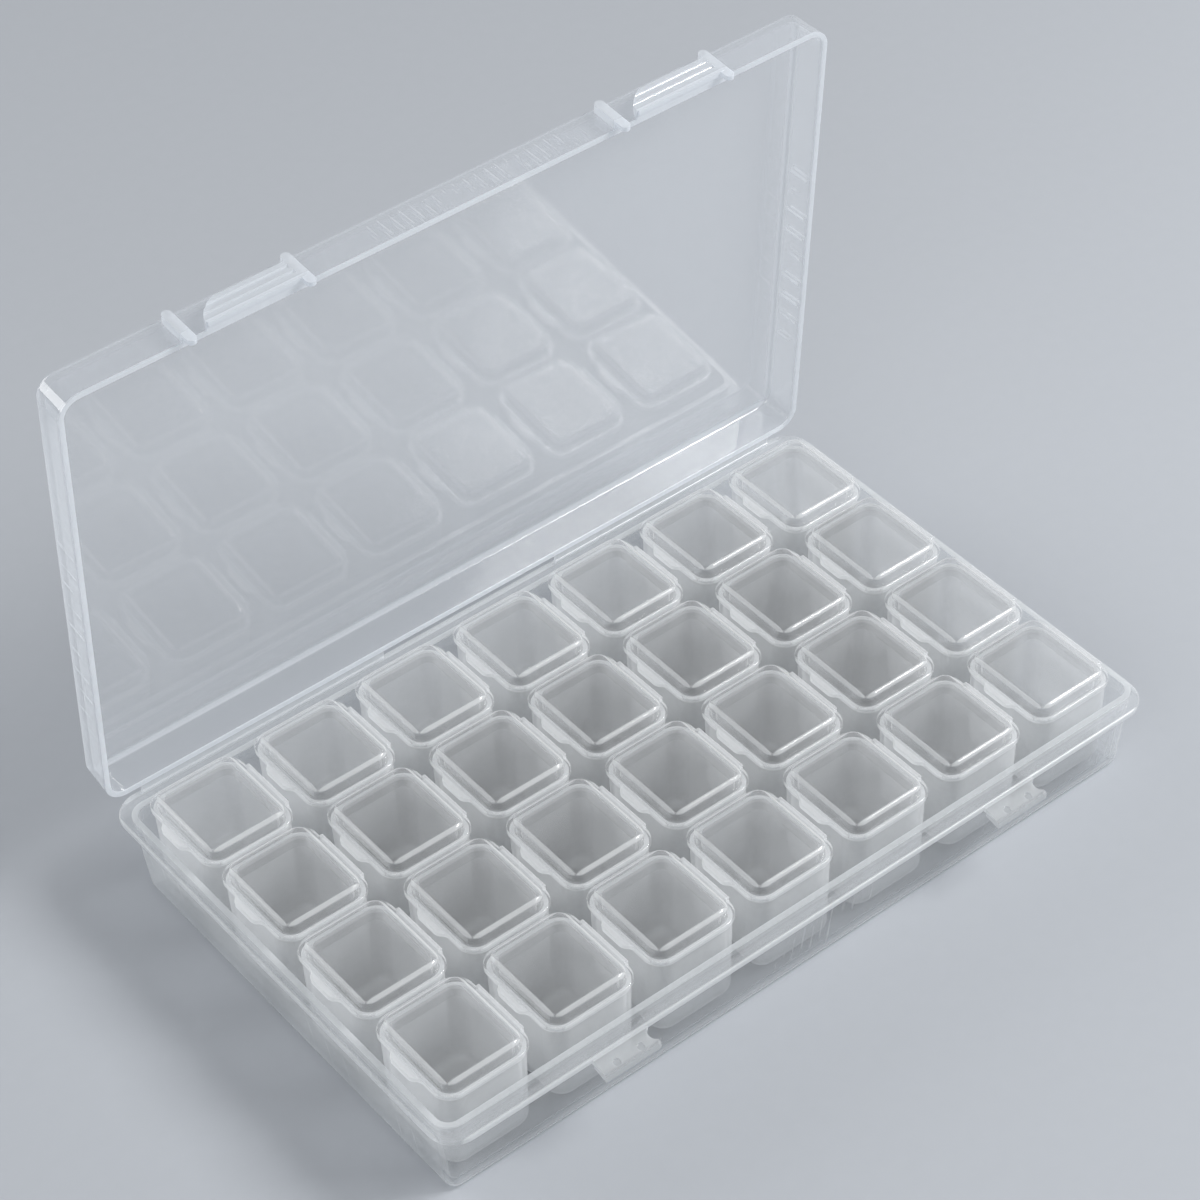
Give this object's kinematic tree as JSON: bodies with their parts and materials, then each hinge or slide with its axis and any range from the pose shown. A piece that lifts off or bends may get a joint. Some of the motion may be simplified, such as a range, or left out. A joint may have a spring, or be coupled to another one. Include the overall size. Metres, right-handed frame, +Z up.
{
  "type": "bead storage box",
  "caption": "Flat translucent craft organizer: a hinged case with front latches holding a grid of lift-out lidded boxes for beads and small parts.",
  "frame": {"origin": "on the tray's flat underside, below the middle of the grid of small boxes", "axes": "+X along the case's length to the right, +Y from the latches towards the hinge, +Z up"},
  "size_m": [0.1756, 0.1209, 0.129],
  "materials": {
    "tray_plastic": "satin",
    "lid_plastic": "gloss",
    "film_plastic": "satin",
    "box_plastic": "satin",
    "box_lid_plastic": "gloss"
  },
  "bodies": {
    "tray": {"tray": "tray_plastic"},
    "lid": {"lid": "lid_plastic", "hinge_film_left": "film_plastic", "hinge_film_right": "film_plastic"},
    "bead_box_row1_col1": {"bead_box_row1_col1": "box_plastic"},
    "bead_box_lid_row1_col1": {"bead_box_lid_row1_col1": "box_lid_plastic"},
    "bead_box_row1_col2": {"bead_box_row1_col2": "box_plastic"},
    "bead_box_lid_row1_col2": {"bead_box_lid_row1_col2": "box_lid_plastic"},
    "bead_box_row1_col3": {"bead_box_row1_col3": "box_plastic"},
    "bead_box_lid_row1_col3": {"bead_box_lid_row1_col3": "box_lid_plastic"},
    "bead_box_row1_col4": {"bead_box_row1_col4": "box_plastic"},
    "bead_box_lid_row1_col4": {"bead_box_lid_row1_col4": "box_lid_plastic"},
    "bead_box_row1_col5": {"bead_box_row1_col5": "box_plastic"},
    "bead_box_lid_row1_col5": {"bead_box_lid_row1_col5": "box_lid_plastic"},
    "bead_box_row1_col6": {"bead_box_row1_col6": "box_plastic"},
    "bead_box_lid_row1_col6": {"bead_box_lid_row1_col6": "box_lid_plastic"},
    "bead_box_row1_col7": {"bead_box_row1_col7": "box_plastic"},
    "bead_box_lid_row1_col7": {"bead_box_lid_row1_col7": "box_lid_plastic"},
    "bead_box_row2_col1": {"bead_box_row2_col1": "box_plastic"},
    "bead_box_lid_row2_col1": {"bead_box_lid_row2_col1": "box_lid_plastic"},
    "bead_box_row2_col2": {"bead_box_row2_col2": "box_plastic"},
    "bead_box_lid_row2_col2": {"bead_box_lid_row2_col2": "box_lid_plastic"},
    "bead_box_row2_col3": {"bead_box_row2_col3": "box_plastic"},
    "bead_box_lid_row2_col3": {"bead_box_lid_row2_col3": "box_lid_plastic"},
    "bead_box_row2_col4": {"bead_box_row2_col4": "box_plastic"},
    "bead_box_lid_row2_col4": {"bead_box_lid_row2_col4": "box_lid_plastic"},
    "bead_box_row2_col5": {"bead_box_row2_col5": "box_plastic"},
    "bead_box_lid_row2_col5": {"bead_box_lid_row2_col5": "box_lid_plastic"},
    "bead_box_row2_col6": {"bead_box_row2_col6": "box_plastic"},
    "bead_box_lid_row2_col6": {"bead_box_lid_row2_col6": "box_lid_plastic"},
    "bead_box_row2_col7": {"bead_box_row2_col7": "box_plastic"},
    "bead_box_lid_row2_col7": {"bead_box_lid_row2_col7": "box_lid_plastic"},
    "bead_box_row3_col1": {"bead_box_row3_col1": "box_plastic"},
    "bead_box_lid_row3_col1": {"bead_box_lid_row3_col1": "box_lid_plastic"},
    "bead_box_row3_col2": {"bead_box_row3_col2": "box_plastic"},
    "bead_box_lid_row3_col2": {"bead_box_lid_row3_col2": "box_lid_plastic"},
    "bead_box_row3_col3": {"bead_box_row3_col3": "box_plastic"},
    "bead_box_lid_row3_col3": {"bead_box_lid_row3_col3": "box_lid_plastic"},
    "bead_box_row3_col4": {"bead_box_row3_col4": "box_plastic"},
    "bead_box_lid_row3_col4": {"bead_box_lid_row3_col4": "box_lid_plastic"},
    "bead_box_row3_col5": {"bead_box_row3_col5": "box_plastic"},
    "bead_box_lid_row3_col5": {"bead_box_lid_row3_col5": "box_lid_plastic"},
    "bead_box_row3_col6": {"bead_box_row3_col6": "box_plastic"},
    "bead_box_lid_row3_col6": {"bead_box_lid_row3_col6": "box_lid_plastic"},
    "bead_box_row3_col7": {"bead_box_row3_col7": "box_plastic"},
    "bead_box_lid_row3_col7": {"bead_box_lid_row3_col7": "box_lid_plastic"},
    "bead_box_row4_col1": {"bead_box_row4_col1": "box_plastic"},
    "bead_box_lid_row4_col1": {"bead_box_lid_row4_col1": "box_lid_plastic"},
    "bead_box_row4_col2": {"bead_box_row4_col2": "box_plastic"},
    "bead_box_lid_row4_col2": {"bead_box_lid_row4_col2": "box_lid_plastic"},
    "bead_box_row4_col3": {"bead_box_row4_col3": "box_plastic"},
    "bead_box_lid_row4_col3": {"bead_box_lid_row4_col3": "box_lid_plastic"},
    "bead_box_row4_col4": {"bead_box_row4_col4": "box_plastic"},
    "bead_box_lid_row4_col4": {"bead_box_lid_row4_col4": "box_lid_plastic"},
    "bead_box_row4_col5": {"bead_box_row4_col5": "box_plastic"},
    "bead_box_lid_row4_col5": {"bead_box_lid_row4_col5": "box_lid_plastic"},
    "bead_box_row4_col6": {"bead_box_row4_col6": "box_plastic"},
    "bead_box_lid_row4_col6": {"bead_box_lid_row4_col6": "box_lid_plastic"},
    "bead_box_row4_col7": {"bead_box_row4_col7": "box_plastic"},
    "bead_box_lid_row4_col7": {"bead_box_lid_row4_col7": "box_lid_plastic"}
  },
  "joints": [
    {"name": "lid_hinge", "type": "hinge", "parent": "tray", "child": "lid", "pos_m": [0, 0.0545, 0.0187], "axis": [-1, 0, 0], "range_deg": [-85.2, 94.8]},
    {"name": "lift_row1_col1", "type": "slide", "parent": "tray", "child": "bead_box_row1_col1", "axis": [0, 0, 1], "range_m": [0, 0.03]},
    {"name": "flip_row1_col1", "type": "hinge", "parent": "bead_box_row1_col1", "child": "bead_box_lid_row1_col1", "pos_m": [-0.06215, -0.0369, 0.0226], "axis": [0, 1, 0], "range_deg": [0, 105]},
    {"name": "lift_row1_col2", "type": "slide", "parent": "tray", "child": "bead_box_row1_col2", "axis": [0, 0, 1], "range_m": [0, 0.03]},
    {"name": "flip_row1_col2", "type": "hinge", "parent": "bead_box_row1_col2", "child": "bead_box_lid_row1_col2", "pos_m": [-0.0379, -0.0369, 0.0226], "axis": [0, 1, 0], "range_deg": [0, 105]},
    {"name": "lift_row1_col3", "type": "slide", "parent": "tray", "child": "bead_box_row1_col3", "axis": [0, 0, 1], "range_m": [0, 0.03]},
    {"name": "flip_row1_col3", "type": "hinge", "parent": "bead_box_row1_col3", "child": "bead_box_lid_row1_col3", "pos_m": [-0.01365, -0.0369, 0.0226], "axis": [0, 1, 0], "range_deg": [0, 105]},
    {"name": "lift_row1_col4", "type": "slide", "parent": "tray", "child": "bead_box_row1_col4", "axis": [0, 0, 1], "range_m": [0, 0.03]},
    {"name": "flip_row1_col4", "type": "hinge", "parent": "bead_box_row1_col4", "child": "bead_box_lid_row1_col4", "pos_m": [0.0106, -0.0369, 0.0226], "axis": [0, 1, 0], "range_deg": [0, 105]},
    {"name": "lift_row1_col5", "type": "slide", "parent": "tray", "child": "bead_box_row1_col5", "axis": [0, 0, 1], "range_m": [0, 0.03]},
    {"name": "flip_row1_col5", "type": "hinge", "parent": "bead_box_row1_col5", "child": "bead_box_lid_row1_col5", "pos_m": [0.03485, -0.0369, 0.0226], "axis": [0, 1, 0], "range_deg": [0, 105]},
    {"name": "lift_row1_col6", "type": "slide", "parent": "tray", "child": "bead_box_row1_col6", "axis": [0, 0, 1], "range_m": [0, 0.03]},
    {"name": "flip_row1_col6", "type": "hinge", "parent": "bead_box_row1_col6", "child": "bead_box_lid_row1_col6", "pos_m": [0.0591, -0.0369, 0.0226], "axis": [0, 1, 0], "range_deg": [0, 105]},
    {"name": "lift_row1_col7", "type": "slide", "parent": "tray", "child": "bead_box_row1_col7", "axis": [0, 0, 1], "range_m": [0, 0.03]},
    {"name": "flip_row1_col7", "type": "hinge", "parent": "bead_box_row1_col7", "child": "bead_box_lid_row1_col7", "pos_m": [0.08335, -0.0369, 0.0226], "axis": [0, 1, 0], "range_deg": [0, 105]},
    {"name": "lift_row2_col1", "type": "slide", "parent": "tray", "child": "bead_box_row2_col1", "axis": [0, 0, 1], "range_m": [0, 0.03]},
    {"name": "flip_row2_col1", "type": "hinge", "parent": "bead_box_row2_col1", "child": "bead_box_lid_row2_col1", "pos_m": [-0.06215, -0.0123, 0.0226], "axis": [0, 1, 0], "range_deg": [0, 105]},
    {"name": "lift_row2_col2", "type": "slide", "parent": "tray", "child": "bead_box_row2_col2", "axis": [0, 0, 1], "range_m": [0, 0.03]},
    {"name": "flip_row2_col2", "type": "hinge", "parent": "bead_box_row2_col2", "child": "bead_box_lid_row2_col2", "pos_m": [-0.0379, -0.0123, 0.0226], "axis": [0, 1, 0], "range_deg": [0, 105]},
    {"name": "lift_row2_col3", "type": "slide", "parent": "tray", "child": "bead_box_row2_col3", "axis": [0, 0, 1], "range_m": [0, 0.03]},
    {"name": "flip_row2_col3", "type": "hinge", "parent": "bead_box_row2_col3", "child": "bead_box_lid_row2_col3", "pos_m": [-0.01365, -0.0123, 0.0226], "axis": [0, 1, 0], "range_deg": [0, 105]},
    {"name": "lift_row2_col4", "type": "slide", "parent": "tray", "child": "bead_box_row2_col4", "axis": [0, 0, 1], "range_m": [0, 0.03]},
    {"name": "flip_row2_col4", "type": "hinge", "parent": "bead_box_row2_col4", "child": "bead_box_lid_row2_col4", "pos_m": [0.0106, -0.0123, 0.0226], "axis": [0, 1, 0], "range_deg": [0, 105]},
    {"name": "lift_row2_col5", "type": "slide", "parent": "tray", "child": "bead_box_row2_col5", "axis": [0, 0, 1], "range_m": [0, 0.03]},
    {"name": "flip_row2_col5", "type": "hinge", "parent": "bead_box_row2_col5", "child": "bead_box_lid_row2_col5", "pos_m": [0.03485, -0.0123, 0.0226], "axis": [0, 1, 0], "range_deg": [0, 105]},
    {"name": "lift_row2_col6", "type": "slide", "parent": "tray", "child": "bead_box_row2_col6", "axis": [0, 0, 1], "range_m": [0, 0.03]},
    {"name": "flip_row2_col6", "type": "hinge", "parent": "bead_box_row2_col6", "child": "bead_box_lid_row2_col6", "pos_m": [0.0591, -0.0123, 0.0226], "axis": [0, 1, 0], "range_deg": [0, 105]},
    {"name": "lift_row2_col7", "type": "slide", "parent": "tray", "child": "bead_box_row2_col7", "axis": [0, 0, 1], "range_m": [0, 0.03]},
    {"name": "flip_row2_col7", "type": "hinge", "parent": "bead_box_row2_col7", "child": "bead_box_lid_row2_col7", "pos_m": [0.08335, -0.0123, 0.0226], "axis": [0, 1, 0], "range_deg": [0, 105]},
    {"name": "lift_row3_col1", "type": "slide", "parent": "tray", "child": "bead_box_row3_col1", "axis": [0, 0, 1], "range_m": [0, 0.03]},
    {"name": "flip_row3_col1", "type": "hinge", "parent": "bead_box_row3_col1", "child": "bead_box_lid_row3_col1", "pos_m": [-0.06215, 0.0123, 0.0226], "axis": [0, 1, 0], "range_deg": [0, 105]},
    {"name": "lift_row3_col2", "type": "slide", "parent": "tray", "child": "bead_box_row3_col2", "axis": [0, 0, 1], "range_m": [0, 0.03]},
    {"name": "flip_row3_col2", "type": "hinge", "parent": "bead_box_row3_col2", "child": "bead_box_lid_row3_col2", "pos_m": [-0.0379, 0.0123, 0.0226], "axis": [0, 1, 0], "range_deg": [0, 105]},
    {"name": "lift_row3_col3", "type": "slide", "parent": "tray", "child": "bead_box_row3_col3", "axis": [0, 0, 1], "range_m": [0, 0.03]},
    {"name": "flip_row3_col3", "type": "hinge", "parent": "bead_box_row3_col3", "child": "bead_box_lid_row3_col3", "pos_m": [-0.01365, 0.0123, 0.0226], "axis": [0, 1, 0], "range_deg": [0, 105]},
    {"name": "lift_row3_col4", "type": "slide", "parent": "tray", "child": "bead_box_row3_col4", "axis": [0, 0, 1], "range_m": [0, 0.03]},
    {"name": "flip_row3_col4", "type": "hinge", "parent": "bead_box_row3_col4", "child": "bead_box_lid_row3_col4", "pos_m": [0.0106, 0.0123, 0.0226], "axis": [0, 1, 0], "range_deg": [0, 105]},
    {"name": "lift_row3_col5", "type": "slide", "parent": "tray", "child": "bead_box_row3_col5", "axis": [0, 0, 1], "range_m": [0, 0.03]},
    {"name": "flip_row3_col5", "type": "hinge", "parent": "bead_box_row3_col5", "child": "bead_box_lid_row3_col5", "pos_m": [0.03485, 0.0123, 0.0226], "axis": [0, 1, 0], "range_deg": [0, 105]},
    {"name": "lift_row3_col6", "type": "slide", "parent": "tray", "child": "bead_box_row3_col6", "axis": [0, 0, 1], "range_m": [0, 0.03]},
    {"name": "flip_row3_col6", "type": "hinge", "parent": "bead_box_row3_col6", "child": "bead_box_lid_row3_col6", "pos_m": [0.0591, 0.0123, 0.0226], "axis": [0, 1, 0], "range_deg": [0, 105]},
    {"name": "lift_row3_col7", "type": "slide", "parent": "tray", "child": "bead_box_row3_col7", "axis": [0, 0, 1], "range_m": [0, 0.03]},
    {"name": "flip_row3_col7", "type": "hinge", "parent": "bead_box_row3_col7", "child": "bead_box_lid_row3_col7", "pos_m": [0.08335, 0.0123, 0.0226], "axis": [0, 1, 0], "range_deg": [0, 105]},
    {"name": "lift_row4_col1", "type": "slide", "parent": "tray", "child": "bead_box_row4_col1", "axis": [0, 0, 1], "range_m": [0, 0.03]},
    {"name": "flip_row4_col1", "type": "hinge", "parent": "bead_box_row4_col1", "child": "bead_box_lid_row4_col1", "pos_m": [-0.06215, 0.0369, 0.0226], "axis": [0, 1, 0], "range_deg": [0, 105]},
    {"name": "lift_row4_col2", "type": "slide", "parent": "tray", "child": "bead_box_row4_col2", "axis": [0, 0, 1], "range_m": [0, 0.03]},
    {"name": "flip_row4_col2", "type": "hinge", "parent": "bead_box_row4_col2", "child": "bead_box_lid_row4_col2", "pos_m": [-0.0379, 0.0369, 0.0226], "axis": [0, 1, 0], "range_deg": [0, 105]},
    {"name": "lift_row4_col3", "type": "slide", "parent": "tray", "child": "bead_box_row4_col3", "axis": [0, 0, 1], "range_m": [0, 0.03]},
    {"name": "flip_row4_col3", "type": "hinge", "parent": "bead_box_row4_col3", "child": "bead_box_lid_row4_col3", "pos_m": [-0.01365, 0.0369, 0.0226], "axis": [0, 1, 0], "range_deg": [0, 105]},
    {"name": "lift_row4_col4", "type": "slide", "parent": "tray", "child": "bead_box_row4_col4", "axis": [0, 0, 1], "range_m": [0, 0.03]},
    {"name": "flip_row4_col4", "type": "hinge", "parent": "bead_box_row4_col4", "child": "bead_box_lid_row4_col4", "pos_m": [0.0106, 0.0369, 0.0226], "axis": [0, 1, 0], "range_deg": [0, 105]},
    {"name": "lift_row4_col5", "type": "slide", "parent": "tray", "child": "bead_box_row4_col5", "axis": [0, 0, 1], "range_m": [0, 0.03]},
    {"name": "flip_row4_col5", "type": "hinge", "parent": "bead_box_row4_col5", "child": "bead_box_lid_row4_col5", "pos_m": [0.03485, 0.0369, 0.0226], "axis": [0, 1, 0], "range_deg": [0, 105]},
    {"name": "lift_row4_col6", "type": "slide", "parent": "tray", "child": "bead_box_row4_col6", "axis": [0, 0, 1], "range_m": [0, 0.03]},
    {"name": "flip_row4_col6", "type": "hinge", "parent": "bead_box_row4_col6", "child": "bead_box_lid_row4_col6", "pos_m": [0.0591, 0.0369, 0.0226], "axis": [0, 1, 0], "range_deg": [0, 105]},
    {"name": "lift_row4_col7", "type": "slide", "parent": "tray", "child": "bead_box_row4_col7", "axis": [0, 0, 1], "range_m": [0, 0.03]},
    {"name": "flip_row4_col7", "type": "hinge", "parent": "bead_box_row4_col7", "child": "bead_box_lid_row4_col7", "pos_m": [0.08335, 0.0369, 0.0226], "axis": [0, 1, 0], "range_deg": [0, 105]}
  ]
}
